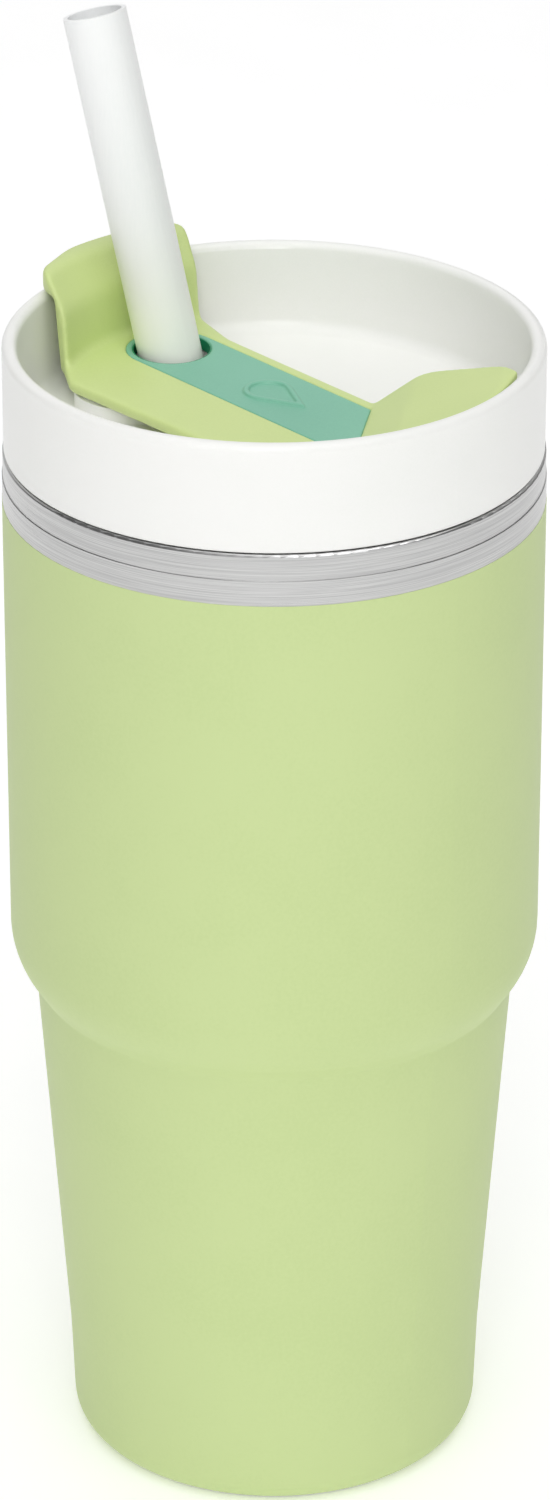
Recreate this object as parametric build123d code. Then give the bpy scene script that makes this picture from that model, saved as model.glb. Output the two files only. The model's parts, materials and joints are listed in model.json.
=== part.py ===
from build123d import *
import math
import os

# Insulated travel mug, millimetres.  The origin is the centre of the base, on the surface that the
# mug stands on.  +Z is up along the body axis.  The straw end of the turning cover points to -X and
# its thumb tab to +X.

# ---- driving dimensions: vessel -------------------------------------------------------------------
BODY_RADIUS = 44.0          # coated outer surface of the upper body
BODY_TOP = 180.6            # top of the steel lip
BAND_HEIGHT = 8.6           # bare steel between the powder coat and the lip
SHOULDER_FOOT = 85.5        # height of the crease between the shoulder and the tapered lower body
SHOULDER_RISE = 5.9         # from the crease to where the upper wall would meet the shoulder slope
SHOULDER_STEP = 4.1         # crease inside the upper wall
LOWER_TAPER = 4.8           # foot inside the crease
FOOT_TOP = 18.4             # below this height the wall tapers less
FOOT_TAPER = 0.7            # base inside the foot
SHOULDER_ROUND = 14.0
CREASE_ROUND = 1.6
BASE_ROUND = 4.4
COAT_THICKNESS = 0.2
SHELL_WALL = 0.6
VACUUM_GAP = 2.0
LINER_WALL = 0.6
BAND_STEP_HEIGHT = 4.2      # height of the thicker lower part of the bare steel band
BAND_STEP_DEPTH = 0.15
LIP_ROUND = 0.4
LIP_THICKNESS = 0.9

# ---- driving dimensions: base of the vessel ---------------------------------------------------------
COAT_FOOT = 0.3             # the coat ends this far above the standing surface
BASE_PLATE_GAP = 0.5        # plate inside the rounded corner of the outer wall
BASE_PLATE_OVERLAP = 2.4    # plate on the turned-in foot
BASE_PLATE_THICKNESS = 0.6
SEAL_HOLE_RADIUS = 1.5
SEAL_HEAD_RADIUS = 3.0
SEAL_HEAD_HEIGHT = 0.9
BASE_DISC_GAP = 0.5         # disc inside the opening of the foot
LINER_FLOOR = 8.6           # inside floor of the drink space
LINER_CORNER = 5.0
GETTER_RADIUS = 7.0
GETTER_THICKNESS = 1.6
CLIP_LENGTH = 24.0
CLIP_WIDTH = 6.0
CLIP_THICKNESS = 0.3

# ---- driving dimensions: screw thread ---------------------------------------------------------------
THREAD_PITCH = 4.0
THREAD_TURNS = 1.25
THREAD_HEIGHT = 0.8         # radial height of a ridge
THREAD_BASE = 1.6           # axial width of a ridge at its root
THREAD_CREST = 0.8          # axial width of a ridge at its crest
THREAD_CLEARANCE = 0.35     # male crest to the liner wall
THREAD_DROP = 10.6          # lower end of the liner's ridge below the lip
THREAD_SINK = 0.3           # how far a ridge runs into its own wall
THREAD_TURN_IN = 35.0       # plan direction in which a ridge starts, degrees

# ---- driving dimensions: lid -----------------------------------------------------------------------
LID_SEAT_GAP = 0.2          # lid ring above the steel lip
LID_RISE = 18.3             # rim of the lid above the steel lip
LID_INSET = 0.4             # lid ring inside the coated body
LID_WALL = 2.4
LID_TAPER = 1.6             # the ring is this much thicker at its floor
LID_RIM_ROUND = 1.15
LID_FLOOR_RISE = 3.4        # floor of the lid above the steel lip
LID_FLOOR_THICKNESS = 3.0
LID_FLOOR_ROUND = 2.5
PLUG_DEPTH = 15.0           # plug below the lip
PLUG_WALL = 2.2
GASKET_HEIGHT = 2.0
GASKET_DEPTH = 1.0          # depth of the gasket's groove in the plug
GASKET_CLEARANCE = 0.2
GASKET_WALL_GAP = 0.3       # gasket to the liner wall
PIVOT_RADIUS = 4.5
PIVOT_BOSS_WALL = 4.0
PIVOT_CLEARANCE = 0.3
SLOT_CLEARANCE = 1.5        # lid slot beside the straw
SLOT_BOSS_WALL = 2.2
SLOT_SEAL_INSET = 0.6
SLOT_SEAL_WIDTH = 0.9
SLOT_SEAL_HEIGHT = 1.0
SLOT_SEAL_DEPTH = 0.8
VENT_RADIUS = 1.2
VENT_OFFSET = 27.0

# ---- driving dimensions: cover ----------------------------------------------------------------------
COVER_RISE = 5.2            # top of the cover plate above the floor of the lid
COVER_PLATE = 2.0
COVER_GAP = 0.4             # cover plate above the bosses of the lid
COVER_NEAR_INSET = 18.0     # near edge of the wide wing inside the wall of the lid
WING_TAPER = 1.4            # the wing is this much narrower where it ends under the thumb tab
COVER_FAR_MARGIN = 2.3      # far edge of the cover beside the coloured strip
COVER_EDGE_ROUND = 0.45
WALL_CLEARANCE = 1.2        # thumb tab inside the lid wall
REST_GAP = 2.4              # back-rest inside the wall of the lid, at the plate
REST_WALL = 2.2             # thickness of the back-rest at the plate
REST_SLOPE = 1.2            # front of the back-rest leans out this much up to its bend
REST_BEND_DROP = 1.3        # that bend below the rim of the lid
REST_CREST_WIDTH = 4.2      # flat top of the back-rest
REST_BACK_SLOPE = 1.6       # back of the back-rest leans out this much up to its lip
LIP_REACH = 1.4             # lip outside the lid ring
LIP_HEIGHT = 4.2            # top of the lip above the rim of the lid
LIP_CLEARANCE = 0.45        # lip above the rim of the lid
WING_STEP = 4.0             # near side of the back-rest inside the wing
REST_FAR_STEP = 4.8         # far side of the back-rest beyond the far edge of the cover
REST_LIP_ROUND = 26.0
REST_HEEL_ROUND = 0.7
REST_FOOT_ROUND = 1.5
REST_BEND_ROUND = 5.0
REST_CREST_ROUND = 3.0
LIP_TOP_ROUND = 1.6
TAB_DIRECTION = 40.0        # plan direction in which the thumb tab climbs, degrees
TAB_LENGTH = 23.4           # foot of the tab to the wall of the lid, along that direction
TAB_KNEE_RUN = 6.8          # length of the steep part of the tab
TAB_KNEE_RISE = 4.2         # top of the steep part above the cover plate
TAB_CREST_INSET = 2.1       # highest part of the tab begins this far inside the lid wall
TAB_RISE = 8.0              # highest part of the tab above the cover plate
TAB_WIDENING = 13.4         # far side of the tab beyond the far edge of the cover
TAB_WALL = 2.6
TAB_FOOT_ROUND = 2.0
TAB_UNDER_ROUND = 4.0
TAB_KNEE_ROUND = 6.0
HOLE_CLEARANCE = 1.3        # straw hole beside the straw
HOLE_INSET = 14.1           # centre of the straw hole inside the wall of the lid
STRIP_MARGIN = 1.0          # coloured strip beside the straw hole
STRIP_DEPTH = 1.0
LIP_POINT = 1.6             # the lip's outline would meet in a point this far outside the lip
LIP_POINT_SIDE = 1.0
LIP_NARROWING = 1.4
LIP_FLARE = 0.8
REST_SIDE_ROUND = 5.0
WING_CORNER_ROUND = 3.0
WING_END_INSET = 17.6       # near edge of the wing turns in this far inside the wall of the lid
WING_END_RISE = 12.0
WING_END_ROUND = 8.0
TAB_SIDE_INSET = 11.1       # the tab is at its widest from here to the wall of the lid
TAB_SHOULDER = 5.0
TAB_NECK_RUN = 11.0         # narrow start of the tab on the far side, before its widest part
TAB_NECK_SLOPE = 4.1
TAB_SIDE_ROUND = 5.5
TAB_NECK_ROUND = 0.6
HOLE_CLEAR = 3.0            # the far side widens from here towards the back-rest
FAR_FLARE = 2.4
FAR_SIDE_ROUND = 12.0
EMBLEM_RADIUS = 4.0
EMBLEM_HEIGHT = 0.45
EMBLEM_LENGTH = 9.0         # centre of the drop's round end to its tip
EMBLEM_LINE = 0.9
EMBLEM_SHIFT = 1.5          # centre of the drop's round end from the axis, towards the straw
COVER_TRAVEL = 30.0         # degrees from the straw position to the drinking position
CLIP_RING_REACH = 2.7       # clip ring outside the stem
CLIP_RING_THICKNESS = 0.8
CLIP_RING_DEPTH = 0.7
CLIP_RING_MOUTH = 3.0
CLIP_RING_GAP = 0.3
STEM_END = 1.4              # stem below its clip ring
ORING_SECTION = 0.6         # radius of the O-ring's section
ORING_SINK = 0.45           # centre of that section inside the stem
ORING_CLEARANCE = 0.05

# ---- driving dimensions: straw -----------------------------------------------------------------------
STRAW_RADIUS = 5.2
STRAW_WALL = 0.75
STRAW_RISE = 44.4           # top end of the straw above the rim of the lid
STRAW_TOE_INSET = 10.05     # straw axis meets the level of the liner floor this far inside the base
STRAW_TOE_DIRECTION = 21.6  # plan direction of that point, degrees
STRAW_FOOT_GAP = 0.3        # lowest point of the straw above the liner floor
STRAW_SHIFT = 0.8           # straw axis further out than the centre of its hole

# ---- limits of the modelling itself ---------------------------------------------------------------
CUT = 1.0                   # how far a cutting body runs past what it cuts
UPRIGHT = 0.001             # a face whose normal rises less than this is upright
TOUCH = 0.01

# ---- worked-out places -------------------------------------------------------------------------------
CREASE_RADIUS = BODY_RADIUS - SHOULDER_STEP
FOOT_RADIUS = CREASE_RADIUS - LOWER_TAPER
BASE_RADIUS = FOOT_RADIUS - FOOT_TAPER
SHOULDER_TOP = SHOULDER_FOOT + SHOULDER_RISE
COAT_TOP = BODY_TOP - BAND_HEIGHT
SHELL_RADIUS = BODY_RADIUS - COAT_THICKNESS
BASE_PLATE_RADIUS = BASE_RADIUS - BASE_ROUND - BASE_PLATE_GAP
BASE_OPENING_RADIUS = BASE_PLATE_RADIUS - BASE_PLATE_OVERLAP
LINER_RADIUS = SHELL_RADIUS - SHELL_WALL - VACUUM_GAP - LINER_WALL
PLUG_RADIUS = LINER_RADIUS - THREAD_CLEARANCE - THREAD_HEIGHT
THREAD_START = BODY_TOP - THREAD_DROP
LID_RADIUS = BODY_RADIUS - LID_INSET
RIM_RADIUS = LID_RADIUS - LID_WALL
LID_FLOOR_RADIUS = RIM_RADIUS - LID_TAPER
LID_BOTTOM = BODY_TOP + LID_SEAT_GAP
LID_TOP = BODY_TOP + LID_RISE
LID_FLOOR_TOP = BODY_TOP + LID_FLOOR_RISE
LID_UNDERSIDE = LID_FLOOR_TOP - LID_FLOOR_THICKNESS
COVER_TOP = LID_FLOOR_TOP + COVER_RISE
COVER_BOTTOM = COVER_TOP - COVER_PLATE
BOSS_TOP = COVER_BOTTOM - COVER_GAP
CLIP_RING_TOP = LID_UNDERSIDE - CLIP_RING_GAP
CLIP_RING_RADIUS = PIVOT_RADIUS + CLIP_RING_REACH
REST_OUTSIDE = LID_FLOOR_RADIUS - REST_GAP
REST_FRONT = REST_OUTSIDE - REST_WALL
REST_BEND = REST_FRONT + REST_SLOPE
REST_BEND_HEIGHT = LID_TOP - REST_BEND_DROP
REST_LIP = LID_RADIUS + LIP_REACH
REST_CREST = REST_LIP - REST_CREST_WIDTH
REST_TOP = LID_TOP + LIP_HEIGHT
LIP_BOTTOM = LID_TOP + LIP_CLEARANCE
TAB_START = LID_FLOOR_RADIUS - TAB_LENGTH
TAB_KNEE = TAB_START + TAB_KNEE_RUN
TAB_KNEE_HEIGHT = COVER_TOP + TAB_KNEE_RISE
TAB_CREST = LID_FLOOR_RADIUS - TAB_CREST_INSET
TAB_TOP = COVER_TOP + TAB_RISE
HOLE_OFFSET = LID_FLOOR_RADIUS - HOLE_INSET
STRAW_CROSSING = -HOLE_OFFSET - STRAW_SHIFT    # straw axis at the top of the cover plate
STRAW_TOE_X = (BASE_RADIUS - STRAW_TOE_INSET) * math.cos(math.radians(STRAW_TOE_DIRECTION))
STRAW_TOE_Y = (BASE_RADIUS - STRAW_TOE_INSET) * math.sin(math.radians(STRAW_TOE_DIRECTION))
STRAW_SIDE = math.atan2(-STRAW_TOE_Y, STRAW_CROSSING - STRAW_TOE_X)
STRAW_RUN = math.hypot(STRAW_CROSSING - STRAW_TOE_X, STRAW_TOE_Y)
STRAW_LEAN = math.atan2(STRAW_RUN, COVER_TOP - LINER_FLOOR)
SLOT_MIDDLE = (LID_UNDERSIDE + BOSS_TOP) / 2
SLOT_SHIFT = (COVER_TOP - SLOT_MIDDLE) * math.tan(STRAW_LEAN)
HOLE_RADIUS = STRAW_RADIUS + HOLE_CLEARANCE
STRIP_WIDTH = 2 * (HOLE_RADIUS + STRIP_MARGIN)
COVER_NEAR = LID_FLOOR_RADIUS - COVER_NEAR_INSET
COVER_NEAR_END = COVER_NEAR - WING_TAPER
COVER_FAR = STRIP_WIDTH / 2 + COVER_FAR_MARGIN
TAB_SIDE = COVER_FAR + TAB_WIDENING
REST_NEAR = COVER_NEAR - WING_STEP
REST_FAR = COVER_FAR + REST_FAR_STEP
SLOT_OFFSET = HOLE_OFFSET + STRAW_SHIFT - SLOT_SHIFT    # the straw crosses the lid nearer the axis
SLOT_RADIUS = STRAW_RADIUS + SLOT_CLEARANCE
BEYOND_LID = LID_RADIUS + 4 * CUT    # outside everything that the lid holds


# ---- shared helpers ----------------------------------------------------------------------------------
def revolve_half(face):
    """Turn a face drawn in the XZ plane, on the side of +X, about the Z axis."""
    return revolve(face, Axis.Z)


def profile(points):
    """Closed face in the XZ plane from (radius, height) corners."""
    corners = [(radius, 0.0, height) for radius, height in points]
    return make_face(Polyline(*corners, close=True))


def ring(inner, outer, bottom, top):
    """Ring of rectangular section about the Z axis."""
    return revolve_half(profile([(inner, bottom), (outer, bottom), (outer, top), (inner, top)]))


def disc(radius, bottom, top):
    """Plain disc about the Z axis."""
    return ring(0.0, radius, bottom, top)


def inset_corner(before, corner, after, inset):
    """Corner of an outline after both of its lines have moved towards the axis side by inset."""
    lines = []
    for start, end in ((before, corner), (corner, after)):
        length = math.hypot(end[0] - start[0], end[1] - start[1])
        along = ((end[0] - start[0]) / length, (end[1] - start[1]) / length)
        inward = (along[1], -along[0])
        lines.append(((start[0] + inward[0] * inset, start[1] + inward[1] * inset), along))
    (first, d1), (second, d2) = lines
    cross = d1[0] * d2[1] - d1[1] * d2[0]
    step = ((second[0] - first[0]) * d2[1] - (second[1] - first[1]) * d2[0]) / cross
    return (first[0] + d1[0] * step, first[1] + d1[1] * step)


def body_solid(inset, bottom, top, corner_round):
    """Solid inside the outline of the vessel, moved inwards by inset and cut at bottom and top."""
    above = (BODY_RADIUS, BODY_TOP + BODY_RADIUS)
    shoulder = (BODY_RADIUS, SHOULDER_TOP)
    crease = (CREASE_RADIUS, SHOULDER_FOOT)
    foot = (FOOT_RADIUS, FOOT_TOP)
    base = (BASE_RADIUS, 0.0)
    inner_shoulder = inset_corner(above, shoulder, crease, inset)
    inner_crease = inset_corner(shoulder, crease, foot, inset)
    inner_foot = inset_corner(crease, foot, base, inset)
    slope = (base[0] - foot[0]) / (base[1] - foot[1])
    wall_end = inner_foot[0] + slope * (bottom - inner_foot[1])
    outline = profile([
        (0.0, bottom),
        (wall_end, bottom),
        inner_foot,
        inner_crease,
        inner_shoulder,
        (BODY_RADIUS - inset, top),
        (0.0, top),
    ])
    rounds = (
        ((wall_end, bottom), corner_round),
        (inner_crease, CREASE_ROUND + inset),
        (inner_shoulder, SHOULDER_ROUND - inset),
    )
    for (radius, height), size in rounds:
        corner = outline.vertices().sort_by_distance((radius, 0.0, height))[0]
        outline = fillet(corner, size)
    return revolve_half(outline)


def thread_ridge(root, crest, bottom, outward):
    """Helical ridge between two radii, with tapered flanks, that starts at a height."""
    height = THREAD_PITCH * THREAD_TURNS
    path = Pos(0, 0, bottom) * Helix(THREAD_PITCH, height, root)
    sign = 1.0 if outward else -1.0
    sunk = root - sign * THREAD_SINK
    section = Polyline(
        (sunk, 0.0, bottom - THREAD_BASE / 2),
        (root, 0.0, bottom - THREAD_BASE / 2),
        (crest, 0.0, bottom - THREAD_CREST / 2),
        (crest, 0.0, bottom + THREAD_CREST / 2),
        (root, 0.0, bottom + THREAD_BASE / 2),
        (sunk, 0.0, bottom + THREAD_BASE / 2),
        close=True,
    )
    ridge = sweep(make_face(section), path=path, is_frenet=True)
    return ridge.rotate(Axis.Z, THREAD_TURN_IN)


# ---- vessel ------------------------------------------------------------------------------------------
def outer_shell():
    """Steel outer wall: thin body, bare band with its step, rounded lip and turned-in foot."""
    outer = body_solid(COAT_THICKNESS, 0.0, BODY_TOP, BASE_ROUND - COAT_THICKNESS)
    inner = body_solid(
        COAT_THICKNESS + SHELL_WALL, SHELL_WALL, BODY_TOP, BASE_ROUND - COAT_THICKNESS - SHELL_WALL
    )
    wall = outer - inner
    step_top = COAT_TOP + BAND_STEP_HEIGHT
    step = ring(SHELL_RADIUS - SHELL_WALL / 2, SHELL_RADIUS + BAND_STEP_DEPTH, COAT_TOP, step_top)
    foot_opening = disc(BASE_OPENING_RADIUS, -CUT, SHELL_WALL + CUT)
    shell = wall + step - foot_opening
    lip = shell.edges().filter_by(GeomType.CIRCLE).group_by(Axis.Z)[-1].sort_by(SortBy.RADIUS)[-1]
    return fillet(lip, LIP_ROUND)


def powder_coat():
    """Layer of colour over the outer wall, from just above the standing surface to the bare band."""
    outer = body_solid(0.0, 0.0, COAT_TOP, BASE_ROUND)
    inner = body_solid(COAT_THICKNESS, 0.0, COAT_TOP, BASE_ROUND - COAT_THICKNESS)
    skin = outer - inner
    return skin - disc(BODY_RADIUS, -CUT, COAT_FOOT)


def inner_vessel():
    """Steel liner that holds the drink, with its screw ridge and the lip that joins the outer wall."""
    outer_inset = COAT_THICKNESS + SHELL_WALL + VACUUM_GAP
    inner_inset = outer_inset + LINER_WALL
    outer = body_solid(outer_inset, LINER_FLOOR - LINER_WALL, BODY_TOP, LINER_CORNER + LINER_WALL)
    inner = body_solid(inner_inset, LINER_FLOOR, BODY_TOP, LINER_CORNER)
    wall = outer - inner
    lip = ring(LINER_RADIUS, SHELL_RADIUS - SHELL_WALL, BODY_TOP - LIP_THICKNESS, BODY_TOP)
    ridge = thread_ridge(LINER_RADIUS, LINER_RADIUS - THREAD_HEIGHT, THREAD_START, False)
    return wall + lip + ridge


def base_plate():
    """Steel disc welded inside the foot of the outer wall, with the hole the air is drawn through."""
    plate = disc(BASE_PLATE_RADIUS, SHELL_WALL, SHELL_WALL + BASE_PLATE_THICKNESS)
    return plate - disc(SEAL_HOLE_RADIUS, 0.0, SHELL_WALL + BASE_PLATE_THICKNESS + CUT)


def vacuum_seal():
    """Glass bead that closes the hole of the base plate, with its head on the vacuum side."""
    top = SHELL_WALL + BASE_PLATE_THICKNESS
    stem = disc(SEAL_HOLE_RADIUS, SHELL_WALL, top)
    head = disc(SEAL_HEAD_RADIUS, top, top + SEAL_HEAD_HEIGHT)
    head = fillet(head.edges().group_by(Axis.Z)[-1], SEAL_HEAD_HEIGHT / 2)
    return stem + head


def base_disc():
    """Plain disc stuck over the sealed hole, level with the foot that it lies in."""
    return disc(BASE_OPENING_RADIUS - BASE_DISC_GAP, 0.0, SHELL_WALL)


def getter():
    """Tablet that takes up stray gas, held against the underside of the liner."""
    top = LINER_FLOOR - LINER_WALL
    tablet = disc(GETTER_RADIUS, top - GETTER_THICKNESS, top)
    return fillet(tablet.edges().group_by(Axis.Z)[0], GETTER_THICKNESS / 4)


def getter_clip():
    """Bent steel strap spot-welded to the underside of the liner, with the tablet inside it."""
    top = LINER_FLOOR - LINER_WALL
    under = top - GETTER_THICKNESS - CLIP_THICKNESS
    inside = GETTER_RADIUS
    outside = inside + CLIP_THICKNESS
    half = CLIP_LENGTH / 2
    strap = make_face(Polyline(
        (-half, 0.0, top),
        (-half, 0.0, top - CLIP_THICKNESS),
        (-outside, 0.0, top - CLIP_THICKNESS),
        (-outside, 0.0, under),
        (outside, 0.0, under),
        (outside, 0.0, top - CLIP_THICKNESS),
        (half, 0.0, top - CLIP_THICKNESS),
        (half, 0.0, top),
        (inside, 0.0, top),
        (inside, 0.0, under + CLIP_THICKNESS),
        (-inside, 0.0, under + CLIP_THICKNESS),
        (-inside, 0.0, top),
        close=True,
    ))
    return extrude(strap, amount=CLIP_WIDTH / 2, both=True)


# ---- plan shapes shared by the lid, the cover and what fits between them ---------------------------------
def capsule(centre_a, centre_b, radius, bottom, top):
    """Upright prism with a stadium plan between two centres on the X axis."""
    length = abs(centre_b - centre_a)
    middle = (centre_a + centre_b) / 2
    plan = SlotCenterToCenter(length, 2 * radius)
    return extrude(Pos(middle, 0.0, bottom) * plan, amount=top - bottom)


def arc_slot(radius, bottom, top):
    """Upright prism that follows the straw as the cover turns, with round ends."""
    path = CenterArc((0, 0), SLOT_OFFSET, 180.0, COVER_TRAVEL)
    plan = SlotArc(path, 2 * radius)
    return extrude(Pos(0.0, 0.0, bottom) * plan, amount=top - bottom)


# ---- lid ---------------------------------------------------------------------------------------------
def lid_body():
    """White moulding: deep ring, floor with its two bosses, and the threaded plug below."""
    groove_bottom = LID_BOTTOM - GASKET_HEIGHT - 2 * GASKET_CLEARANCE
    plug_inside = PLUG_RADIUS - PLUG_WALL
    outline = profile([
        (0.0, LID_UNDERSIDE),
        (plug_inside, LID_UNDERSIDE),
        (plug_inside, BODY_TOP - PLUG_DEPTH),
        (PLUG_RADIUS, BODY_TOP - PLUG_DEPTH),
        (PLUG_RADIUS, groove_bottom),
        (PLUG_RADIUS - GASKET_DEPTH, groove_bottom),
        (PLUG_RADIUS - GASKET_DEPTH, LID_BOTTOM),
        (LID_RADIUS, LID_BOTTOM),
        (LID_RADIUS, LID_TOP),
        (RIM_RADIUS, LID_TOP),
        (LID_FLOOR_RADIUS, LID_FLOOR_TOP),
        (0.0, LID_FLOOR_TOP),
    ])
    rounds = (
        ((LID_RADIUS, LID_BOTTOM), LIP_ROUND),
        ((LID_RADIUS, LID_TOP), LID_RIM_ROUND),
        ((RIM_RADIUS, LID_TOP), LID_RIM_ROUND),
        ((LID_FLOOR_RADIUS, LID_FLOOR_TOP), LID_FLOOR_ROUND),
    )
    for (radius, height), size in rounds:
        corner = outline.vertices().sort_by_distance((radius, 0.0, height))[0]
        outline = fillet(corner, size)
    body = revolve_half(outline)
    body += arc_slot(SLOT_RADIUS + SLOT_BOSS_WALL, LID_FLOOR_TOP, BOSS_TOP)
    body += disc(PIVOT_RADIUS + PIVOT_BOSS_WALL, LID_FLOOR_TOP, BOSS_TOP)
    body -= arc_slot(SLOT_RADIUS, LID_UNDERSIDE - CUT, BOSS_TOP + CUT)
    body -= disc(PIVOT_RADIUS + PIVOT_CLEARANCE, LID_UNDERSIDE - CUT, BOSS_TOP + CUT)
    body -= slot_seal_ring(BOSS_TOP - SLOT_SEAL_DEPTH, BOSS_TOP + CUT)
    body -= Pos(VENT_OFFSET, 0.0, 0.0) * disc(VENT_RADIUS, LID_UNDERSIDE - CUT, LID_FLOOR_TOP + CUT)
    start = THREAD_START + THREAD_PITCH / 2
    ridge = thread_ridge(PLUG_RADIUS, PLUG_RADIUS + THREAD_HEIGHT, start, True)
    return body + ridge


def slot_seal_ring(bottom, top):
    """Band that runs round the slot of the lid, at a fixed distance from its edge."""
    inner = SLOT_RADIUS + SLOT_SEAL_INSET
    return arc_slot(inner + SLOT_SEAL_WIDTH, bottom, top) - arc_slot(inner, bottom - CUT, top + CUT)


def slot_seal():
    """Silicone seal set in the boss around the slot, which the underside of the cover wipes."""
    bottom = BOSS_TOP - SLOT_SEAL_DEPTH
    return slot_seal_ring(bottom, bottom + SLOT_SEAL_HEIGHT)


def lid_gasket():
    """Silicone ring in the groove at the top of the plug, close to the wall of the liner."""
    top = LID_BOTTOM - GASKET_CLEARANCE
    gasket = ring(
        PLUG_RADIUS - GASKET_DEPTH + GASKET_CLEARANCE,
        LINER_RADIUS - GASKET_WALL_GAP,
        top - GASKET_HEIGHT,
        top,
    )
    outer = gasket.edges().filter_by(GeomType.CIRCLE).sort_by(SortBy.RADIUS)[-2:]
    return fillet(outer, GASKET_HEIGHT / 3)


# ---- cover -------------------------------------------------------------------------------------------
def cover_plan():
    """Plan of the cover: wide wing on the near side, narrow far side, back-rest and thumb tab."""
    tab_widest = LID_FLOOR_RADIUS - TAB_SIDE_INSET
    tab_neck = tab_widest - TAB_NECK_RUN
    corners = (
        ((-REST_LIP - LIP_POINT, -LIP_POINT_SIDE), REST_LIP_ROUND),
        ((-LID_FLOOR_RADIUS, LIP_NARROWING - REST_NEAR), REST_SIDE_ROUND),
        ((-HOLE_OFFSET - HOLE_RADIUS, -REST_NEAR), REST_SIDE_ROUND),
        ((-HOLE_OFFSET, -COVER_NEAR), WING_CORNER_ROUND),
        ((LID_FLOOR_RADIUS - WING_END_INSET, -COVER_NEAR_END), WING_END_ROUND),
        ((BEYOND_LID, WING_END_RISE - COVER_NEAR_END), 0.0),
        ((BEYOND_LID, TAB_SIDE), 0.0),
        ((tab_widest, TAB_SIDE), TAB_SIDE_ROUND),
        ((tab_neck, TAB_SIDE - TAB_SHOULDER), TAB_SIDE_ROUND),
        ((tab_neck - TAB_NECK_SLOPE, COVER_FAR), TAB_NECK_ROUND),
        ((HOLE_CLEAR - HOLE_OFFSET, COVER_FAR), FAR_SIDE_ROUND),
        ((-HOLE_OFFSET - HOLE_RADIUS, REST_FAR - FAR_FLARE), REST_SIDE_ROUND),
        ((-REST_OUTSIDE, REST_FAR - LIP_FLARE), REST_SIDE_ROUND),
        ((-LID_RADIUS, REST_FAR + LIP_FLARE), REST_SIDE_ROUND),
    )
    plan = make_face(Polyline(*[(x, y, 0.0) for (x, y), _ in corners], close=True))
    for (x, y), size in corners:
        if size > 0.0:
            corner = plan.vertices().sort_by_distance((x, y, 0.0))[0]
            plan = fillet(corner, size)
    return plan


def rounded_profile(corners):
    """Closed face in the XZ plane from ((radius, height), round) corners."""
    outline = profile([point for point, _ in corners])
    for (radius, height), size in corners:
        if size > 0.0:
            corner = outline.vertices().sort_by_distance((radius, 0.0, height))[0]
            outline = fillet(corner, size)
    return outline


def straw_side_section():
    """Plate, back-rest behind the straw and lip over the rim, turned about the Z axis."""
    outline = rounded_profile([
        ((0.0, COVER_BOTTOM), 0.0),
        ((REST_OUTSIDE, COVER_BOTTOM), REST_HEEL_ROUND),
        ((REST_OUTSIDE + REST_BACK_SLOPE, LIP_BOTTOM), REST_HEEL_ROUND),
        ((REST_LIP, LIP_BOTTOM), REST_HEEL_ROUND),
        ((REST_LIP, REST_TOP), LIP_TOP_ROUND),
        ((REST_CREST, REST_TOP), REST_CREST_ROUND),
        ((REST_BEND, REST_BEND_HEIGHT), REST_BEND_ROUND),
        ((REST_FRONT, COVER_TOP), REST_FOOT_ROUND),
        ((0.0, COVER_TOP), 0.0),
    ])
    return revolve_half(outline)


def tab_side_section():
    """Plate and ramp of the thumb tab, which leaves room for a fingertip below it."""
    outline = rounded_profile([
        ((-BEYOND_LID, COVER_BOTTOM), 0.0),
        ((TAB_START + TAB_WALL, COVER_BOTTOM), TAB_FOOT_ROUND),
        ((TAB_KNEE + TAB_WALL, TAB_KNEE_HEIGHT - TAB_WALL), TAB_UNDER_ROUND),
        ((TAB_CREST, TAB_TOP - TAB_WALL), TAB_UNDER_ROUND),
        ((BEYOND_LID, TAB_TOP - TAB_WALL), 0.0),
        ((BEYOND_LID, TAB_TOP), 0.0),
        ((TAB_CREST, TAB_TOP), TAB_KNEE_ROUND),
        ((TAB_KNEE, TAB_KNEE_HEIGHT), TAB_KNEE_ROUND),
        ((TAB_START, COVER_TOP), TAB_FOOT_ROUND),
        ((-BEYOND_LID, COVER_TOP), 0.0),
    ])
    ramp = extrude(outline, amount=BEYOND_LID, both=True).rotate(Axis.Z, TAB_DIRECTION)
    wall_slope = LID_TAPER / (LID_TOP - LID_FLOOR_TOP)
    low = LID_FLOOR_RADIUS - WALL_CLEARANCE
    high = low + wall_slope * (REST_TOP - LID_FLOOR_TOP)
    inside_wall = profile([(0.0, LID_FLOOR_TOP), (low, LID_FLOOR_TOP), (high, REST_TOP), (0.0, REST_TOP)])
    return ramp & revolve_half(inside_wall)


def strip_prism(bottom, top):
    """Coloured strip in plan: round about the straw hole, cut along the foot of the thumb tab."""
    stadium = capsule(-HOLE_OFFSET, LID_RADIUS, STRIP_WIDTH / 2, bottom, top)
    reach = 2 * LID_RADIUS
    before_tab = Pos(TAB_START - reach, 0.0, COVER_TOP) * Box(2 * reach, 2 * reach, 2 * reach)
    return stadium & before_tab.rotate(Axis.Z, TAB_DIRECTION)


def straw_hole(bottom, top):
    """Round hole for the straw."""
    return Pos(-HOLE_OFFSET, 0.0, 0.0) * disc(HOLE_RADIUS, bottom, top)


def upper_outline_edges(cover):
    """Edges where the upright sides of the cover meet its upper surface."""
    walls = [
        face for face in cover.faces()
        if face.geom_type in (GeomType.PLANE, GeomType.CYLINDER) and abs(face.normal_at().Z) < UPRIGHT
    ]
    uses = {}
    for wall in walls:
        for edge in wall.edges():
            uses.setdefault(hash(edge), []).append((wall, edge))
    outline = [found[0] for found in uses.values() if len(found) == 1]
    return [
        edge for wall, edge in outline
        if (edge @ 0.5).Z > COVER_TOP - TOUCH and (edge @ 0.5).Z > wall.center().Z + COVER_PLATE / 8
    ]


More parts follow.
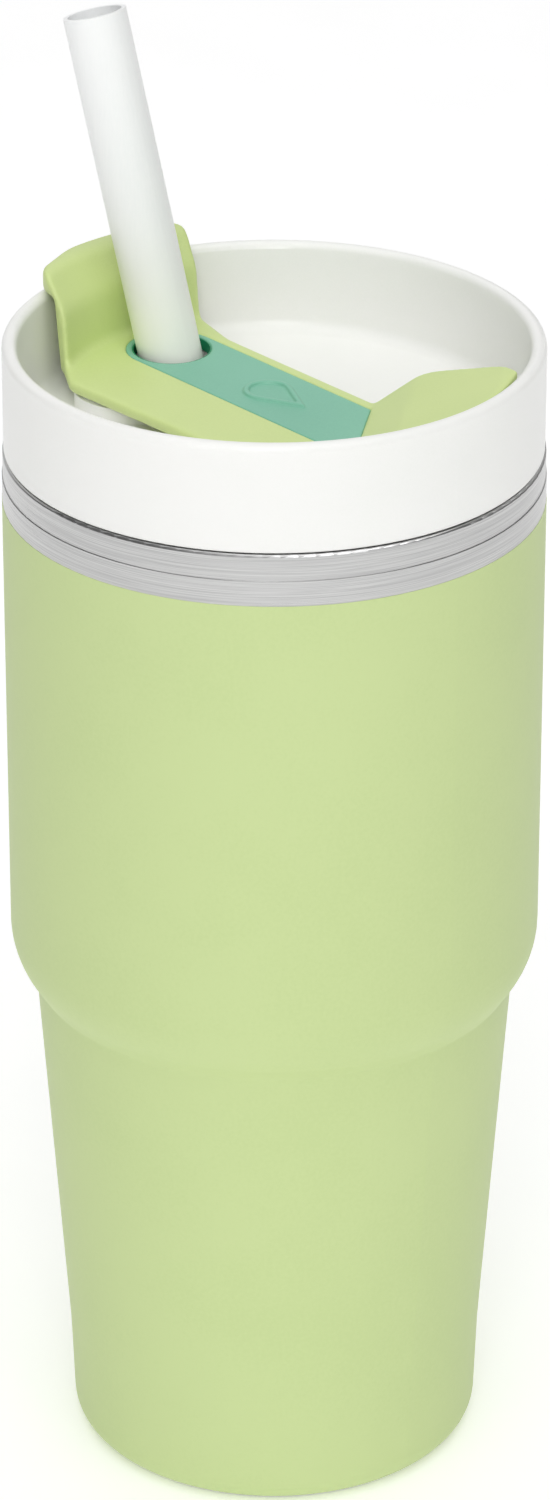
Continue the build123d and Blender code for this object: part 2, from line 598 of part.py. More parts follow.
def rotating_cover():
    """Lime moulding that turns on the lid, with its stem through the lid floor."""
    side = 2 * REST_LIP
    straw_half = Pos(-side / 2, 0.0, COVER_TOP) * Box(side, 2 * side, side)
    tab_half = Pos(side / 2, 0.0, COVER_TOP) * Box(side, 2 * side, side)
    section = (straw_side_section() & straw_half) + (tab_side_section() & tab_half)
    height = REST_TOP - COVER_BOTTOM + 2 * CUT
    prism = extrude(Pos(0.0, 0.0, COVER_BOTTOM - CUT) * cover_plan(), amount=height)
    cover = section & prism
    cover = fillet(upper_outline_edges(cover), COVER_EDGE_ROUND)
    cover = cover - strip_prism(COVER_TOP - STRIP_DEPTH, COVER_TOP + CUT)
    cover = cover - straw_hole(COVER_BOTTOM - CUT, COVER_TOP + CUT)
    return cover + stem()


def stem():
    """Pivot of the cover, grooved for its O-ring and for the clip ring under the lid floor."""
    end = CLIP_RING_TOP - CLIP_RING_THICKNESS - STEM_END
    shaft = disc(PIVOT_RADIUS, end, COVER_BOTTOM + COVER_PLATE / 4)
    shaft = chamfer(shaft.edges().group_by(Axis.Z)[0], STEM_END / 3)
    groove_bottom = CLIP_RING_TOP - CLIP_RING_THICKNESS
    groove = ring(PIVOT_RADIUS - CLIP_RING_DEPTH, PIVOT_RADIUS + CUT, groove_bottom, CLIP_RING_TOP)
    return shaft - groove - oring_solid(ORING_SECTION + ORING_CLEARANCE)


def oring_solid(section):
    """Torus about the Z axis half way down the lid floor."""
    height = LID_FLOOR_TOP - LID_FLOOR_THICKNESS / 2
    return Pos(0.0, 0.0, height) * Torus(PIVOT_RADIUS - ORING_SINK, section)


def pivot_oring():
    """Silicone O-ring in the groove of the stem."""
    return oring_solid(ORING_SECTION)


def pivot_clip():
    """Open clip ring in the lower groove of the stem, which holds the cover down."""
    bottom = CLIP_RING_TOP - CLIP_RING_THICKNESS
    clip = ring(PIVOT_RADIUS - CLIP_RING_DEPTH, CLIP_RING_RADIUS, bottom, CLIP_RING_TOP)
    mouth = Box(2 * CLIP_RING_RADIUS, CLIP_RING_MOUTH, 4 * CLIP_RING_THICKNESS)
    mouth = Pos(CLIP_RING_RADIUS, 0.0, bottom) * mouth
    return clip - mouth


def drop_face(radius, length):
    """Plain water-drop outline about the origin, its tip towards +X."""
    turn = math.acos(radius / length)
    touch = (radius * math.cos(turn), radius * math.sin(turn))
    tip = (length, 0.0)
    outline = [
        Line(tip, touch),
        ThreePointArc(touch, (-radius, 0.0), (touch[0], -touch[1])),
        Line((touch[0], -touch[1]), tip),
    ]
    return make_face(outline)


def cover_insert():
    """Mint strip set flush into the cover, with the straw hole and a raised drop outline."""
    strip = strip_prism(COVER_TOP - STRIP_DEPTH, COVER_TOP) - straw_hole(COVER_BOTTOM, COVER_TOP + CUT)
    outside = drop_face(EMBLEM_RADIUS, EMBLEM_LENGTH)
    inside_share = (EMBLEM_RADIUS - EMBLEM_LINE) / EMBLEM_RADIUS
    inside = drop_face(EMBLEM_RADIUS * inside_share, EMBLEM_LENGTH * inside_share)
    line = extrude(Pos(-EMBLEM_SHIFT, 0.0, COVER_TOP) * (outside - inside), amount=EMBLEM_HEIGHT)
    return strip + line


# ---- straw -------------------------------------------------------------------------------------------
def straw():
    """Plain tube that leans on the back-rest side and stands clear of the liner floor."""
    across = math.sin(STRAW_LEAN)
    axis = Vector(across * math.cos(STRAW_SIDE), across * math.sin(STRAW_SIDE), math.cos(STRAW_LEAN))
    foot_height = LINER_FLOOR + STRAW_FOOT_GAP + STRAW_RADIUS * across
    below = (COVER_TOP - foot_height) / axis.Z
    length = (LID_TOP + STRAW_RISE - foot_height) / axis.Z
    crossing = Vector(STRAW_CROSSING, 0.0, COVER_TOP)
    plane = Plane(origin=crossing - axis * below, z_dir=axis)
    return extrude(plane * (Circle(STRAW_RADIUS) - Circle(STRAW_RADIUS - STRAW_WALL)), amount=length)


PIECES = {
    "outer_shell": outer_shell,
    "powder_coat": powder_coat,
    "inner_vessel": inner_vessel,
    "base_plate": base_plate,
    "vacuum_seal": vacuum_seal,
    "base_disc": base_disc,
    "getter": getter,
    "getter_clip": getter_clip,
    "lid_body": lid_body,
    "lid_gasket": lid_gasket,
    "slot_seal": slot_seal,
    "rotating_cover": rotating_cover,
    "cover_insert": cover_insert,
    "pivot_oring": pivot_oring,
    "pivot_clip": pivot_clip,
    "straw": straw,
}

if __name__ == "__main__":
    os.makedirs("parts", exist_ok=True)
    for name, make in PIECES.items():
        piece = make()
        export_step(piece, f"parts/{name}.step")
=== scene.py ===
"""Looks of the insulated travel mug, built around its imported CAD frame.

Every length is in metres, in the frame of the part: the origin is the centre of the base, +Z is up,
the straw end of the turning cover points to -X and its thumb tab to +X.
"""

import json
import logging
import math
from dataclasses import dataclass, field
from enum import Enum

import bmesh
import bpy
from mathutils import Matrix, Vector
from mathutils.bvhtree import BVHTree

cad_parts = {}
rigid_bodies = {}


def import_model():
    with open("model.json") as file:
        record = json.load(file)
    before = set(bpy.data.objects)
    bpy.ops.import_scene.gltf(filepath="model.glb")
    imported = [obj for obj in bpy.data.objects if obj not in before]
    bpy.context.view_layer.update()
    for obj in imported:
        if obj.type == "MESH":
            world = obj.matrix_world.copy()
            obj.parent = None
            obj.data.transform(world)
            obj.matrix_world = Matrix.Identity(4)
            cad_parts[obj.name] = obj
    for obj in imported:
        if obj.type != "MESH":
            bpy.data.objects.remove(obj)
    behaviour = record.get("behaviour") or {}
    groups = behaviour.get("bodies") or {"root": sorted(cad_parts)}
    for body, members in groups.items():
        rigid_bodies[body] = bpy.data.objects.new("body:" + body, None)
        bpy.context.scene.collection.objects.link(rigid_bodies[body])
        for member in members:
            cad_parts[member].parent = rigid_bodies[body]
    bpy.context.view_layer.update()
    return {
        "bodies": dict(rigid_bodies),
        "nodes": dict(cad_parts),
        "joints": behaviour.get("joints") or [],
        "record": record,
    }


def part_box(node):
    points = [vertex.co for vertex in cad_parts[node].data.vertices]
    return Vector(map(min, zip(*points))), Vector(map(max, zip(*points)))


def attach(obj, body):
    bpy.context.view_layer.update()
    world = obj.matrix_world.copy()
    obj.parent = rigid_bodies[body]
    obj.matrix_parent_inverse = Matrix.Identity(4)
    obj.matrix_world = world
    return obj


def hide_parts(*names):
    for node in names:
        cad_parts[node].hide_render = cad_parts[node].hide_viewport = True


log = logging.getLogger("mug")

MM = 0.001
EVEN_SCATTER = (1.0, 1.0, 1.0)
SCATTER_DEPTH = 1.2 * MM
COAT_ROUGHNESS = 0.25
BLACK = (0.0, 0.0, 0.0, 1.0)
WHITE = (1.0, 1.0, 1.0, 1.0)

# Broad clouding of every finish: spots in a metre, finer layers, its share beside the fine grain in the
# tint, and the two values between which the tint changes.
CLOUD_SPOTS = 38.0
CLOUD_LAYERS = 3.0
CLOUD_SHARE = 0.6
TINT_LOW = 0.3
TINT_HIGH = 0.6

Triple = tuple[float, float, float]
Colour = tuple[float, float, float, float]


def srgb(red: float, green: float, blue: float) -> Colour:
    """Turn an 8-bit display colour into the linear colour that a shader takes.

    Args:
        red: Red, 0 to 255.
        green: Green, 0 to 255.
        blue: Blue, 0 to 255.

    Returns:
        Linear red, green, blue and an alpha of 1.
    """
    linear = [((value / 255 + 0.055) / 1.055) ** 2.4 for value in (red, green, blue)]
    return (linear[0], linear[1], linear[2], 1.0)


class Grain(Enum):
    """Kinds of fine surface relief: spots in a metre, finer layers, and stretch on each axis."""

    SPARK_TEXTURE = (3200.0, 2.0, (1.0, 1.0, 1.0))
    POWDER = (1500.0, 3.0, (1.0, 1.0, 1.0))
    BRUSHED_ROUND = (9000.0, 3.0, (0.012, 0.012, 1.0))
    BRUSH_LINES = (9000.0, 2.0, (0.004, 0.004, 1.0))
    DRAWN = (2600.0, 2.0, (1.0, 1.0, 0.03))
    RUBBER = (2200.0, 1.0, (1.0, 1.0, 1.0))


class Socket:
    """A shader socket that takes part in Python expressions."""

    def __init__(self, tree: "Tree", socket: bpy.types.NodeSocket) -> None:
        """Keep the socket and the tree that it belongs to."""
        self.tree = tree
        self.socket = socket

    def _maths(self, operation: str, *values: "Socket | float") -> "Socket":
        """Add one Math node.

        Args:
            operation: Name of the Math node's operation.
            values: Its inputs in order.

        Returns:
            The result of the node.
        """
        return self.tree.node("ShaderNodeMath", {"operation": operation}, list(values))

    def __add__(self, other: "Socket | float") -> "Socket":
        """Sum."""
        return self._maths("ADD", self, other)

    def __radd__(self, other: float) -> "Socket":
        """Sum, with a plain number first."""
        return self._maths("ADD", other, self)

    def __sub__(self, other: "Socket | float") -> "Socket":
        """Difference."""
        return self._maths("SUBTRACT", self, other)

    def __rsub__(self, other: float) -> "Socket":
        """Difference, with a plain number first."""
        return self._maths("SUBTRACT", other, self)

    def __mul__(self, other: "Socket | float") -> "Socket":
        """Product."""
        return self._maths("MULTIPLY", self, other)

    def __rmul__(self, other: float) -> "Socket":
        """Product, with a plain number first."""
        return self._maths("MULTIPLY", other, self)

    def __abs__(self) -> "Socket":
        """Size without its sign."""
        return self._maths("ABSOLUTE", self)

    def ramp(self, low: float, high: float, start: float = 0.0, end: float = 1.0) -> "Socket":
        """Smooth step between two values.

        Args:
            low: Value at which the step starts.
            high: Value at which it ends.
            start: Result up to there.
            end: Result from there.

        Returns:
            The step, from start to end.
        """
        inputs = {"Value": self, "From Min": low, "From Max": high, "To Min": start, "To Max": end}
        return self.tree.node("ShaderNodeMapRange", {"interpolation_type": "SMOOTHSTEP"}, inputs)


class Tree:
    """Node tree that expressions on its sockets add to."""

    def __init__(self, tree: bpy.types.NodeTree) -> None:
        """Keep the nodes and links of Blender's tree."""
        self.nodes = tree.nodes
        self.links = tree.links

    def node(self, kind: str, settings: dict, inputs: dict | list, output: str | int = 0) -> Socket:
        """Add one node, set it up and fill its sockets.

        Args:
            kind: Blender's type name of the node.
            settings: Properties of the node, set before its sockets.
            inputs: Values or sockets, by name or in order.
            output: Name or number of the output that is wanted.

        Returns:
            That output.
        """
        made = self.nodes.new(kind)
        for key, value in settings.items():
            setattr(made, key, value)
        pairs = inputs.items() if isinstance(inputs, dict) else enumerate(inputs)
        for key, value in pairs:
            self.fill(made.inputs[key], value)
        return Socket(self, made.outputs[output])

    def fill(self, place: bpy.types.NodeSocket, value: Socket | float | tuple) -> None:
        """Link a varying value to an input, or set a constant on it.

        Args:
            place: The input.
            value: What goes there.
        """
        if isinstance(value, Socket):
            self.links.new(value.socket, place)
        else:
            place.default_value = value


class Shader(Tree):
    """Builds the node tree of one material, around a Principled surface."""

    def __init__(self, name: str) -> None:
        """Start an empty material, with its surface connected to the output.

        Args:
            name: Name of the material.
        """
        self.material = bpy.data.materials.new(name)
        self.material.use_nodes = True
        super().__init__(self.material.node_tree)
        self.nodes.clear()
        output = self.nodes.new("ShaderNodeOutputMaterial")
        self.surface = self.nodes.new("ShaderNodeBsdfPrincipled")
        self.links.new(self.surface.outputs[0], output.inputs["Surface"])
        self.point = self.node("ShaderNodeTexCoord", {}, {}, "Object")

    def feed(self, name: str, value: Socket | float | tuple) -> None:
        """Give an input of the surface a varying value or a constant."""
        self.fill(self.surface.inputs[name], value)

    def axes(self) -> tuple[Socket, Socket, Socket]:
        """Coordinates of the surface point along X, Y and Z."""
        found = [self.node("ShaderNodeSeparateXYZ", {}, [self.point], index) for index in range(3)]
        return found[0], found[1], found[2]

    def noise(self, per_metre: float, detail: float, stretch: Triple = (1.0, 1.0, 1.0)) -> Socket:
        """Smooth random pattern that is fixed to the object.

        Args:
            per_metre: Spots in a metre.
            detail: Number of finer layers.
            stretch: Factor on each axis, below 1 to draw the pattern out along it.

        Returns:
            The pattern, from 0 to 1 about a half.
        """
        scaled = self.node("ShaderNodeVectorMath", {"operation": "MULTIPLY"}, [self.point, stretch])
        return self.node("ShaderNodeTexNoise", {}, {"Vector": scaled, "Scale": per_metre, "Detail": detail})

    def mix(self, mask: Socket, low: Socket | Colour, high: Socket | Colour) -> Socket:
        """Blend two colours.

        Args:
            mask: 0 for the first colour, 1 for the second.
            low: First colour.
            high: Second colour.

        Returns:
            The blended colour.
        """
        return self.node("ShaderNodeMix", {"data_type": "RGBA"}, {0: mask, 6: low, 7: high}, 2)

    def bump(self, height: Socket, strength: float, depth: float) -> None:
        """Give the surface a relief.

        Args:
            height: Pattern of the relief.
            strength: Share of the relief that shows.
            depth: Height of the pattern's full range, in metres.
        """
        relief = self.node("ShaderNodeBump", {}, {"Strength": strength, "Distance": depth, "Height": height})
        self.feed("Normal", relief)


@dataclass(frozen=True)
class Finish:
    """One finish: its colours, gloss and fine relief.

    The colour runs from `colour` to `shade` with broad soft clouding, and the roughness wanders
    about its middle value.
    """

    name: str
    colour: Colour
    shade: Colour
    roughness: float
    grain: Grain
    metallic: float = 0.0
    coat: float = 0.0
    subsurface: float = 0.0
    relief: float = 0.04 * MM
    relief_share: float = 0.4
    spread: float = 0.06

    def build(self) -> bpy.types.Material:
        """Make the material of this finish.

        Returns:
            The material.
        """
        shader = Shader(self.name)
        clouds = shader.noise(CLOUD_SPOTS, CLOUD_LAYERS)
        fine = shader.noise(*self.grain.value)
        shader.feed("Base Color", self.base_colour(shader, clouds, fine))
        shader.feed("Roughness", self.gloss(clouds, fine))
        shader.feed("Metallic", self.metallic)
        shader.feed("Coat Weight", self.coat)
        shader.feed("Coat Roughness", COAT_ROUGHNESS)
        shader.feed("Subsurface Weight", self.subsurface)
        shader.feed("Subsurface Scale", SCATTER_DEPTH)
        shader.feed("Subsurface Radius", EVEN_SCATTER)
        self.add_glow(shader)
        shader.bump(fine, self.relief_share, self.relief)
        return shader.material

    def base_colour(self, shader: Shader, clouds: Socket, fine: Socket) -> Socket:
        """Clouded colour of the finish."""
        return shader.mix(self.tint(shader, clouds, fine), self.shade, self.colour)

    def tint(self, shader: Shader, clouds: Socket, fine: Socket) -> Socket:
        """Mask that is 0 where the shade shows and 1 where the colour does."""
        return (clouds * CLOUD_SHARE + fine * (1 - CLOUD_SHARE)).ramp(TINT_LOW, TINT_HIGH)

    def gloss(self, clouds: Socket, fine: Socket) -> Socket:
        """Roughness about its middle value."""
        return (clouds - 0.5) * self.spread + (fine - 0.5) * self.spread + self.roughness

    def add_glow(self, shader: Shader) -> None:
        """Leave the surface dark by itself, as most finishes are."""


@dataclass(frozen=True)
class TurnedSteel(Finish):
    """Brushed steel, darker where the brushing ran deep."""

    line_share: float = 0.7
    line_low: float = 0.34
    line_high: float = 0.66

    def tint(self, shader: Shader, clouds: Socket, fine: Socket) -> Socket:
        """Mask that follows the brushed lines."""
        lines = shader.noise(*Grain.BRUSH_LINES.value)
        return (lines * self.line_share + fine * (1 - self.line_share)).ramp(self.line_low, self.line_high)


@dataclass(frozen=True)
class LitFloor(Finish):
    """Pale floor that glows softly about the object, as a light table does."""

    glow: float = 0.22
    glow_core: float = 0.8
    glow_edge: float = 2.4

    def add_glow(self, shader: Shader) -> None:
        """Let the glow fade with the distance from the object.

        Args:
            shader: Tree that takes the nodes.
        """
        along_x, along_y, _ = shader.axes()
        lit = (along_x * along_x + along_y * along_y).ramp(self.glow_edge**2, self.glow_core**2)
        shader.feed("Emission Color", shader.mix(lit, BLACK, WHITE))
        shader.feed("Emission Strength", self.glow)


@dataclass(frozen=True)
class FrostedTube(Finish):
    """Milky straw plastic with the lime cover's reflected colour painted on towards its lower end."""

    # Painted reflected colour of the cover, and the heights between which it fades in towards the foot.
    painted_cover_bounce: Colour = WHITE
    painted_bounce_top: float = 214 * MM
    painted_bounce_foot: float = 188 * MM

    def base_colour(self, shader: Shader, clouds: Socket, fine: Socket) -> Socket:
        """Clouded colour with the painted reflected colour of the cover over its lower end.

        Args:
            shader: Tree that takes the nodes.
            clouds: Broad pattern.
            fine: Relief pattern.

        Returns:
            The colour with the painted cover reflection.
        """
        plain = Finish.base_colour(self, shader, clouds, fine)
        # Mask of the painted cover reflection: 0 at the top of the straw, 1 towards its foot.
        painted_bounce_mask = shader.axes()[2].ramp(self.painted_bounce_top, self.painted_bounce_foot)
        return shader.mix(painted_bounce_mask, plain, self.painted_cover_bounce)

    def gloss(self, clouds: Socket, fine: Socket) -> Socket:
        """Roughness that varies with the drawn marks alone."""
        return (fine - 0.5) * self.spread + self.roughness


LIME_COAT = Finish(
    "lime_coat", srgb(201, 218, 154), srgb(197, 215, 150), 0.5, Grain.POWDER,
    relief=0.03 * MM, relief_share=0.22,
)
LIME_PLASTIC = Finish(
    "lime_plastic", srgb(209, 225, 152), srgb(204, 221, 146), 0.42, Grain.SPARK_TEXTURE,
    subsurface=0.06, relief=0.02 * MM, relief_share=0.2,
)
MINT_PLASTIC = Finish(
    "mint_plastic", srgb(128, 192, 166), srgb(121, 186, 160), 0.4, Grain.SPARK_TEXTURE,
    subsurface=0.1, relief=0.02 * MM, relief_share=0.2,
)
# Darker copy of the strip's mint for the lining of the straw hole: painted shade inside the hole, on the
# same plastic as the strip.
SHADED_MINT_COLLAR = Finish(
    "mint_painted_shade", srgb(20, 140, 96), srgb(14, 128, 86), 0.4, Grain.SPARK_TEXTURE,
    relief=0.02 * MM, relief_share=0.2,
)
WHITE_PLASTIC = Finish(
    "white_plastic", srgb(246, 246, 243), srgb(243, 244, 240), 0.3, Grain.SPARK_TEXTURE,
    subsurface=0.3, relief=0.015 * MM, relief_share=0.18,
)
BARE_STEEL = TurnedSteel(
    "bare_steel", srgb(206, 206, 205), srgb(178, 178, 178), 0.3, Grain.BRUSHED_ROUND,
    metallic=1.0, relief=0.03 * MM, relief_share=0.5, spread=0.12,
)
LINER_STEEL = TurnedSteel(
    "liner_steel", srgb(205, 205, 204), srgb(170, 170, 171), 0.34, Grain.BRUSHED_ROUND,
    metallic=1.0, relief=0.02 * MM, relief_share=0.3, spread=0.12,
)
DISC_STEEL = TurnedSteel(
    "base_disc", srgb(190, 190, 192), srgb(160, 160, 163), 0.42, Grain.BRUSHED_ROUND,
    metallic=1.0, relief=0.02 * MM, relief_share=0.3, spread=0.12,
)
SILICONE = Finish(
    "silicone", srgb(226, 228, 222), srgb(214, 217, 210), 0.55, Grain.RUBBER,
    subsurface=0.2, relief_share=0.25,
)
SEAL_GLASS = Finish("seal_glass", srgb(92, 80, 60), srgb(66, 56, 44), 0.18, Grain.RUBBER, coat=0.6)
GETTER_METAL = Finish("getter_metal", srgb(104, 104, 106), srgb(72, 72, 75), 0.7, Grain.POWDER, metallic=0.8)
# The straw's slightly tinted lower end is painted reflected colour of the lime cover.
FROSTED_STRAW = FrostedTube(
    "frosted_straw", srgb(252, 253, 253), srgb(248, 250, 250), 0.36, Grain.DRAWN,
    subsurface=0.08, relief=0.02 * MM, relief_share=0.2, painted_cover_bounce=srgb(250, 251, 243),
)
PALE_FLOOR = LitFloor("pale_floor", srgb(252, 252, 252), srgb(250, 250, 250), 0.6, Grain.RUBBER)


def dress(piece: bpy.types.Object, finish: Finish) -> None:
    """Put one finish on a whole piece.

    Args:
        piece: Mesh object.
        finish: Its finish.
    """
    material = finish.build()
    piece.data.materials.clear()
    piece.data.materials.append(material)


def smooth(piece: bpy.types.Object, angle: float) -> None:
    """Shade a mesh smoothly, with its sharp edges kept.

    Args:
        piece: Mesh object.
        angle: Edges sharper than this stay sharp, in degrees.
    """
    with bpy.context.temp_override(object=piece, active_object=piece, selected_objects=[piece]):
        bpy.ops.object.shade_smooth_by_angle(angle=math.radians(angle))


@dataclass
class Assembly:
    """A group of CAD nodes that share a body of the frame."""

    frame: dict
    body: str
    finishes: dict[str, Finish] = field(default_factory=dict)

    def node(self, name: str) -> bpy.types.Object:
        """CAD node of that name."""
        return self.frame["nodes"][name]

    def dress_nodes(self) -> None:
        """Give each node that keeps its CAD shape its finish."""
        for name, finish in self.finishes.items():
            dress(self.node(name), finish)
            log.info("dressed %s as %s", name, finish.name)

    def build(self) -> None:
        """Make everything that this assembly shows."""
        self.dress_nodes()


@dataclass
class Vessel(Assembly):
    """Double-walled steel body, its powder coat and what closes its base."""

    body: str = "vessel"
    finishes: dict[str, Finish] = field(
        default_factory=lambda: {
            "outer_shell": BARE_STEEL,
            "powder_coat": LIME_COAT,
            "inner_vessel": LINER_STEEL,
            "base_plate": LINER_STEEL,
            "vacuum_seal": SEAL_GLASS,
            "base_disc": DISC_STEEL,
            "getter": GETTER_METAL,
            "getter_clip": LINER_STEEL,
        }
    )


@dataclass
class Lid(Assembly):
    """White screw lid with its slot seal."""

    body: str = "lid"
    finishes: dict[str, Finish] = field(
        default_factory=lambda: {"lid_body": WHITE_PLASTIC, "slot_seal": SILICONE}
    )


@dataclass
class Gasket(Assembly):
    """Silicone ring of the plug."""

    body: str = "gasket"
    finishes: dict[str, Finish] = field(default_factory=lambda: {"lid_gasket": SILICONE})


def evaluated_mesh(piece: bpy.types.Object) -> bpy.types.Mesh:
    """Mesh of a piece with its modifiers applied.

    Args:
        piece: Object with modifiers.

    Returns:
        A new mesh of its own.
    """
    graph = bpy.context.evaluated_depsgraph_get()
    return bpy.data.meshes.new_from_object(piece.evaluated_get(graph))


@dataclass
class Softening:
    """Soft moulded edges for a CAD node: a fine even mesh, relaxed where no other piece is let in."""

    voxel: float = 0.32 * MM
    passes: int = 22
    strength: float = 0.5
    kept_distance: float = 1.1 * MM
    inlay_weight: float = 0.12

    def apply(self, source: bpy.types.Object, inlay: bpy.types.Object | None, name: str) -> bpy.types.Object:
        """Make the softened copy.

        Args:
            source: CAD node to copy.
            inlay: Piece that is let into it, or None. The edges beside it stay crisp.
            name: Name of the new piece.

        Returns:
            The new piece.
        """
        piece = bpy.data.objects.new(name, source.data.copy())
        bpy.context.scene.collection.objects.link(piece)
        self.relax(piece, "REMESH")
        if inlay is None:
            self.relax(piece, "SMOOTH")
        else:
            self.relax(piece, "SMOOTH", self.free_edges(piece, inlay))
            piece.vertex_groups.clear()
        for face in piece.data.polygons:
            face.use_smooth = True
        return piece

    def free_edges(self, piece: bpy.types.Object, inlay: bpy.types.Object) -> str:
        """Weight the points of a piece by whether they may move.

        Args:
            piece: Object that gets the vertex group.
            inlay: Piece that is let into it.

        Returns:
            Name of the vertex group.
        """
        group = piece.vertex_groups.new(name="free_edges")
        tree = BVHTree.FromPolygons(
            [vertex.co for vertex in inlay.data.vertices], [face.vertices for face in inlay.data.polygons]
        )
        for vertex in piece.data.vertices:
            near = tree.find_nearest(vertex.co, self.kept_distance)[0] is not None
            group.add([vertex.index], self.inlay_weight if near else 1.0, "REPLACE")
        return group.name

    def relax(self, piece: bpy.types.Object, kind: str, group: str = "") -> None:
        """Add one modifier and apply it.

        Args:
            piece: Object to change.
            kind: REMESH or SMOOTH.
            group: Vertex group that limits the smoothing.
        """
        modifier = piece.modifiers.new(kind.lower(), kind)
        if kind == "REMESH":
            modifier.mode = "VOXEL"
            modifier.voxel_size = self.voxel
        else:
            modifier.factor = self.strength
            modifier.iterations = self.passes
            modifier.vertex_group = group
        mesh = evaluated_mesh(piece)
        piece.modifiers.clear()
        piece.data = mesh


@dataclass
class Cover(Assembly):
    """Turning cover with its coloured strip, O-ring and clip ring."""

    body: str = "cover"
    finishes: dict[str, Finish] = field(
        default_factory=lambda: {
            "pivot_oring": SILICONE,
            "pivot_clip": LINER_STEEL,
        }
    )
    moulding_softening: Softening = field(default_factory=Softening)
    strip_softening: Softening = field(default_factory=lambda: Softening(voxel=0.17 * MM, passes=4))
    hole_offset: float = 25.5 * MM
    hole_radius: float = 6.5 * MM
    lining_wall: float = 0.2 * MM
    lining_depth: float = 1.8 * MM
    lining_drop: float = 0.15 * MM
    lining_sides: int = 128
    lining_sharp: float = 35.0
    strip_thickness: float = 1.0 * MM

    def build(self) -> None:
        """Dress the nodes, soften the two mouldings and line the straw hole."""
        self.dress_nodes()
        strip = self.node("cover_insert")
        moulding = self.moulding_softening.apply(self.node("rotating_cover"), strip, "cover_moulding")
        self.stand_in(moulding, "rotating_cover", LIME_PLASTIC)
        soft_strip = self.strip_softening.apply(strip, None, "cover_strip")
        self.stand_in(soft_strip, "cover_insert", MINT_PLASTIC)
        self.line_hole()

    def stand_in(self, piece: bpy.types.Object, node: str, finish: Finish) -> None:
        """Let a softened piece stand for its CAD node.

        Args:
            piece: The softened copy.
            node: Name of the node that it stands for.
            finish: Its finish.
        """
        dress(piece, finish)
        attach(piece, self.body)
        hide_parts(node)
        log.info("softened the edges of %s: %d faces", node, len(piece.data.polygons))

    def line_hole(self) -> None:
        """Add the collar of the strip that lines the straw hole, in a darker mint that is painted shade
        inside the hole.
        """
        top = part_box("cover_insert")[0].z + self.strip_thickness - self.lining_drop
        inner = self.hole_radius - self.lining_wall
        levels = ((self.hole_radius, top), (inner, top))
        levels += ((inner, top - self.lining_depth), (self.hole_radius, top - self.lining_depth))
        work = bmesh.new()
        rings = [self.lining_ring(work, radius, height) for radius, height in levels]
        for first, second in zip(rings, rings[1:] + rings[:1]):
            for step in range(self.lining_sides):
                after = (step + 1) % self.lining_sides
                work.faces.new((first[step], first[after], second[after], second[step]))
        bmesh.ops.recalc_face_normals(work, faces=work.faces)
        mesh = bpy.data.meshes.new("hole_collar")
        work.to_mesh(mesh)
        work.free()
        piece = bpy.data.objects.new("hole_collar", mesh)
        bpy.context.scene.collection.objects.link(piece)
        smooth(piece, self.lining_sharp)
        # The darker mint of the lining is painted shade inside the straw hole.
        dress(piece, SHADED_MINT_COLLAR)
        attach(piece, self.body)
        log.info("lined the straw hole")

    def lining_ring(self, work: bmesh.types.BMesh, radius: float, height: float) -> list[bmesh.types.BMVert]:
        """Add one ring of points about the middle of the straw hole.

        Args:
            work: Mesh that takes the points.
            radius: Radius of the ring.
            height: Its height.

        Returns:
            The points in order.
        """
        ring = []
        for step in range(self.lining_sides):
            turn = 2 * math.pi * step / self.lining_sides
            spot = (radius * math.cos(turn) - self.hole_offset, radius * math.sin(turn), height)
            ring.append(work.verts.new(spot))
        return ring


@dataclass
class Straw(Assembly):
    """Leaning drinking straw."""

    body: str = "straw"
    finishes: dict[str, Finish] = field(default_factory=lambda: {"straw": FROSTED_STRAW})


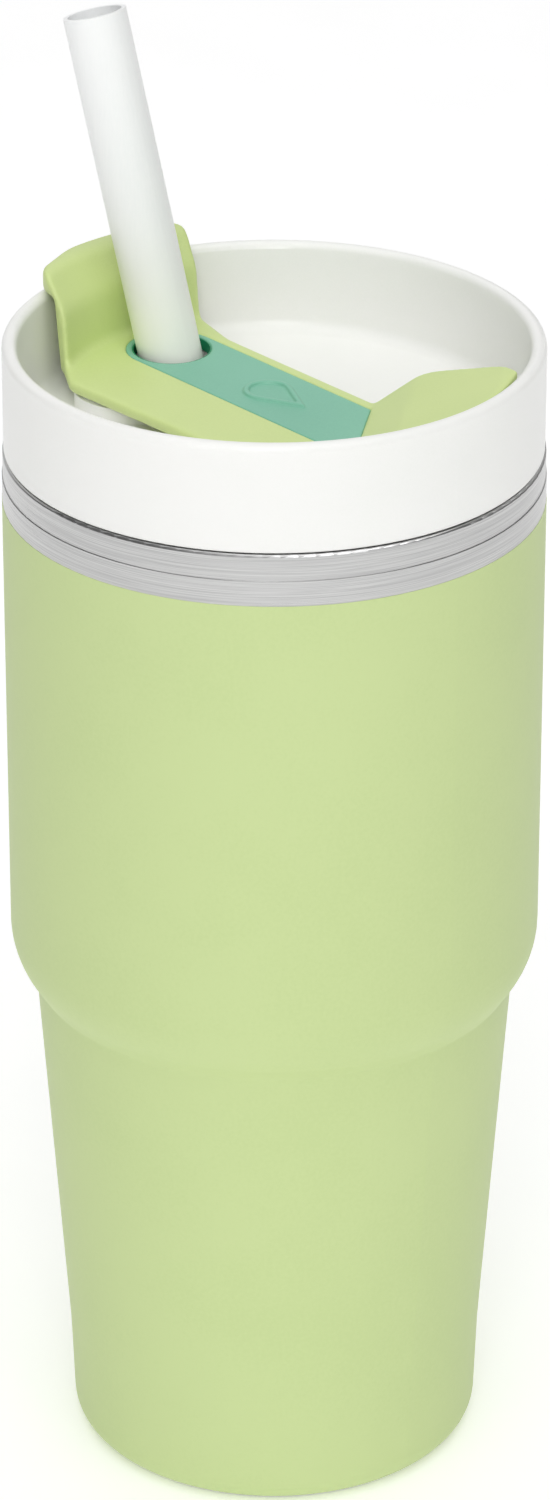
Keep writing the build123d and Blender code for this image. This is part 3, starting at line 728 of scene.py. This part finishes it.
@dataclass
class Studio:
    """Pale floor, soft lights and the camera."""

    azimuth: float = 49.0
    elevation: float = 26.3
    distance: float = 1.0057
    target_height: float = 0.1255
    lens: float = 146.27
    sensor: float = 36.0
    clip_start: float = 0.05
    shift_side: float = 0.0005
    floor_size: float = 12.0
    front_strength: float = 0.76
    side_strength: float = 0.08
    side_start: float = 0.35
    side_full: float = 0.95

    def outward(self, azimuth: float, elevation: float) -> Vector:
        """Unit vector from the object towards a place in the studio.

        Args:
            azimuth: Degrees, 0 on the side of -Y and 90 on the side of +X.
            elevation: Degrees above the horizon.

        Returns:
            The vector.
        """
        turn, rise = math.radians(azimuth), math.radians(elevation)
        return Vector((math.sin(turn) * math.cos(rise), -math.cos(turn) * math.cos(rise), math.sin(rise)))

    def aim(self, piece: bpy.types.Object, target: Vector) -> None:
        """Turn a light or camera so that it looks at a point."""
        piece.rotation_euler = (target - piece.location).to_track_quat("-Z", "Y").to_euler()

    def add_camera(self) -> None:
        """Make the camera and use it."""
        data = bpy.data.cameras.new("camera")
        data.lens = self.lens
        data.sensor_width = self.sensor
        data.sensor_fit = "AUTO"
        data.shift_x = self.shift_side
        data.clip_start = self.clip_start
        camera = bpy.data.objects.new("camera", data)
        bpy.context.scene.collection.objects.link(camera)
        target = Vector((0.0, 0.0, self.target_height))
        camera.location = target + self.distance * self.outward(self.azimuth, self.elevation)
        self.aim(camera, target)
        bpy.context.scene.camera = camera

    def add_light(
        self, name: str, azimuth: float, elevation: float, away: float, size: float, watts: float
    ) -> None:
        """Add one square soft light that faces the object.

        Args:
            name: Name of the light.
            azimuth: Its direction, counted from the camera's own, in degrees.
            elevation: Its height in degrees.
            away: Distance in metres.
            size: Side of the square in metres.
            watts: Power.
        """
        data = bpy.data.lights.new(name, "AREA")
        data.size = size
        data.energy = watts
        light = bpy.data.objects.new(name, data)
        bpy.context.scene.collection.objects.link(light)
        target = Vector((0.0, 0.0, self.target_height))
        light.location = target + away * self.outward(self.azimuth + azimuth, elevation)
        self.aim(light, target)

    def add_floor(self) -> None:
        """Lay the floor."""
        mesh = bpy.data.meshes.new("floor")
        half = self.floor_size / 2
        corners = [(-half, -half, 0.0), (half, -half, 0.0), (half, half, 0.0), (-half, half, 0.0)]
        mesh.from_pydata(corners, [], [(0, 1, 2, 3)])
        floor = bpy.data.objects.new("floor", mesh)
        bpy.context.scene.collection.objects.link(floor)
        dress(floor, PALE_FLOOR)
        log.info("laid the floor")

    def build(self) -> None:
        """Make the whole studio."""
        self.add_camera()
        self.add_floor()
        self.add_light("key_light", azimuth=-2.0, elevation=38.0, away=2.2, size=0.7, watts=8.2)
        self.add_light("fill_light", azimuth=30.0, elevation=28.0, away=2.4, size=1.6, watts=1.5)
        self.add_light("top_light", azimuth=0.0, elevation=78.0, away=2.0, size=2.2, watts=12.5)
        self.add_surroundings()
        bpy.context.scene.view_settings.view_transform = "Standard"

    def add_surroundings(self) -> None:
        """Surround the stage with soft light that is dimmer at the two sides of the camera's line."""
        world = bpy.data.worlds.new("studio")
        world.use_nodes = True
        sky = Tree(world.node_tree)
        turn = math.radians(self.azimuth)
        side = (math.cos(turn), math.sin(turn), 0.0)
        place = sky.node("ShaderNodeTexCoord", {}, {}, "Generated")
        across = sky.node("ShaderNodeVectorMath", {"operation": "DOT_PRODUCT"}, [place, side], "Value")
        strength = abs(across).ramp(self.side_start, self.side_full, self.front_strength, self.side_strength)
        background = sky.nodes["Background"]
        sky.fill(background.inputs["Strength"], strength)
        sky.fill(background.inputs["Color"], WHITE)
        bpy.context.scene.world = world


def main() -> None:
    """Load the frame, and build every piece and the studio."""
    logging.basicConfig(level=logging.INFO)
    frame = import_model()
    Studio().build()
    for assembly in (Vessel(frame), Lid(frame), Gasket(frame), Cover(frame), Straw(frame)):
        assembly.build()


if __name__ == "__main__":
    main()
